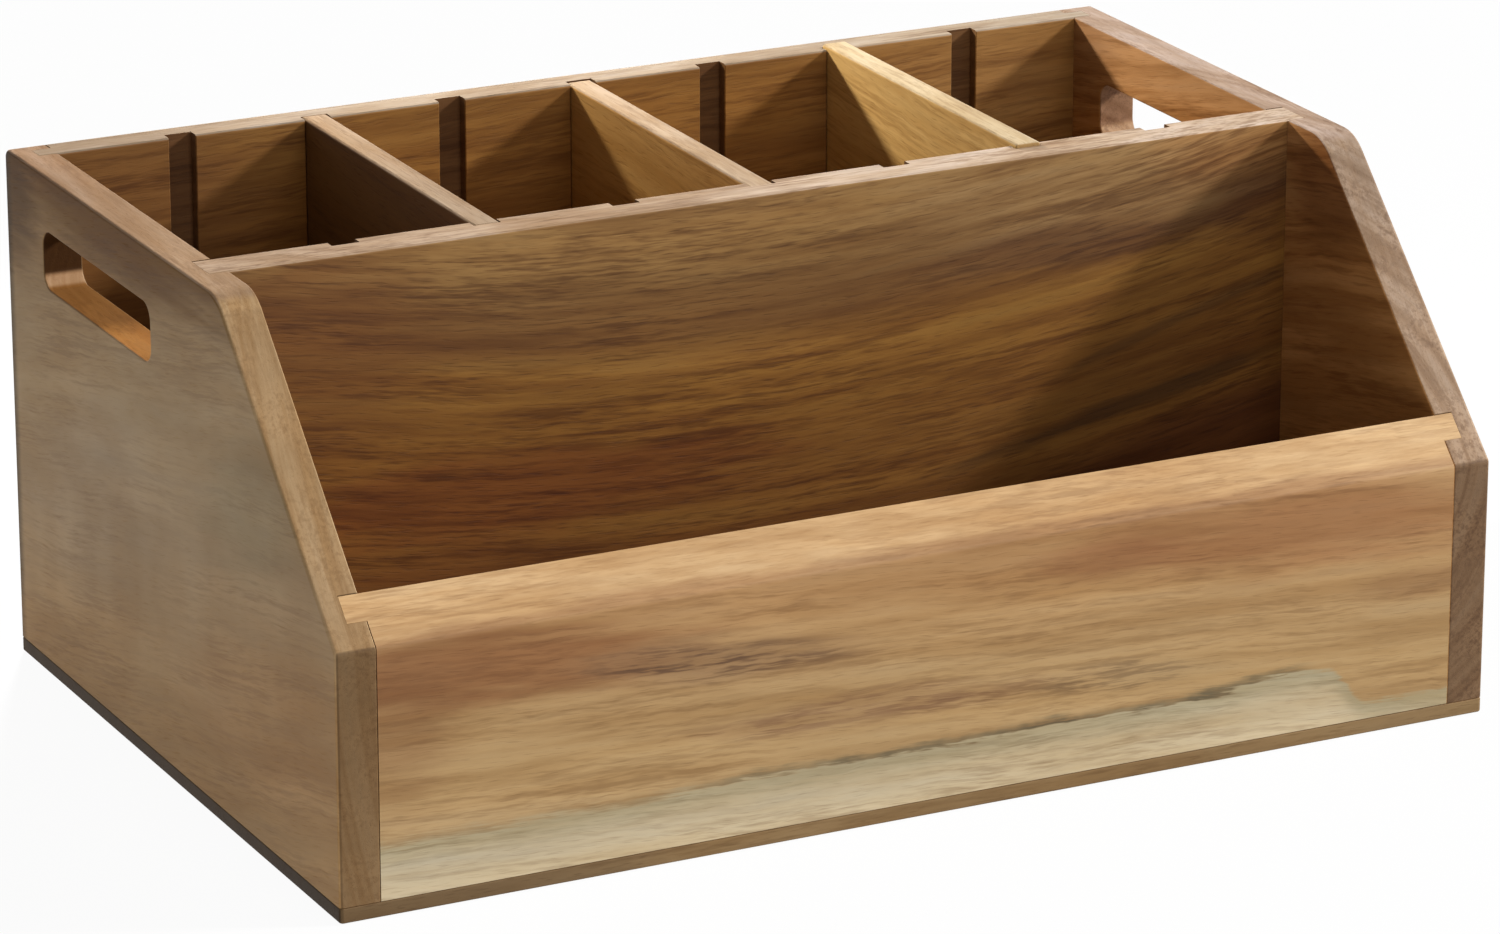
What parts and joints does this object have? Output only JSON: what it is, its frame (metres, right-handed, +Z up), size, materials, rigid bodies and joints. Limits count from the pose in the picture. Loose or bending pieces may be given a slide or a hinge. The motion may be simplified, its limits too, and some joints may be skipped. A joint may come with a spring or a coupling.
{
  "type": "cutlery caddy",
  "caption": "Wooden cutlery caddy with sloping sides, hand holes, an open front bin and rear compartments split by lift-out dividers that stand in slots.",
  "frame": {"origin": "middle of the underside of the base board", "axes": "+X to the right along the width as seen from the front, +Y from the front towards the back, +Z up"},
  "size_m": [0.36, 0.238, 0.155],
  "materials": {
    "side_wood": "oiled acacia, grey brown, satin",
    "front_wood": "oiled acacia, golden with a pale sapwood edge, satin",
    "panel_wood": "oiled acacia, red brown, satin",
    "base_wood": "thin oiled wooden board, satin",
    "divider_wood": "oiled acacia, yellow brown, satin",
    "screw_steel": "zinc plated"
  },
  "bodies": {
    "caddy": {"left_side": "side_wood", "right_side": "side_wood", "front_panel": "front_wood", "back_panel": "panel_wood", "partition": "panel_wood", "base_board": "base_wood", "base_screw_1": "screw_steel", "base_screw_2": "screw_steel", "base_screw_3": "screw_steel", "base_screw_4": "screw_steel", "base_screw_5": "screw_steel", "base_screw_6": "screw_steel", "base_screw_7": "screw_steel", "base_screw_8": "screw_steel", "base_screw_9": "screw_steel", "base_screw_10": "screw_steel"},
    "left_divider": {"divider_1": "divider_wood"},
    "middle_divider": {"divider_2": "divider_wood"},
    "right_divider": {"divider_3": "divider_wood"}
  },
  "joints": [
    {"name": "left_divider_lift", "type": "slide", "parent": "caddy", "child": "left_divider", "axis": [0, 0, 1], "range_m": [0, 0.155]},
    {"name": "middle_divider_lift", "type": "slide", "parent": "caddy", "child": "middle_divider", "axis": [0, 0, 1], "range_m": [0, 0.155]},
    {"name": "right_divider_lift", "type": "slide", "parent": "caddy", "child": "right_divider", "axis": [0, 0, 1], "range_m": [0, 0.155]}
  ]
}
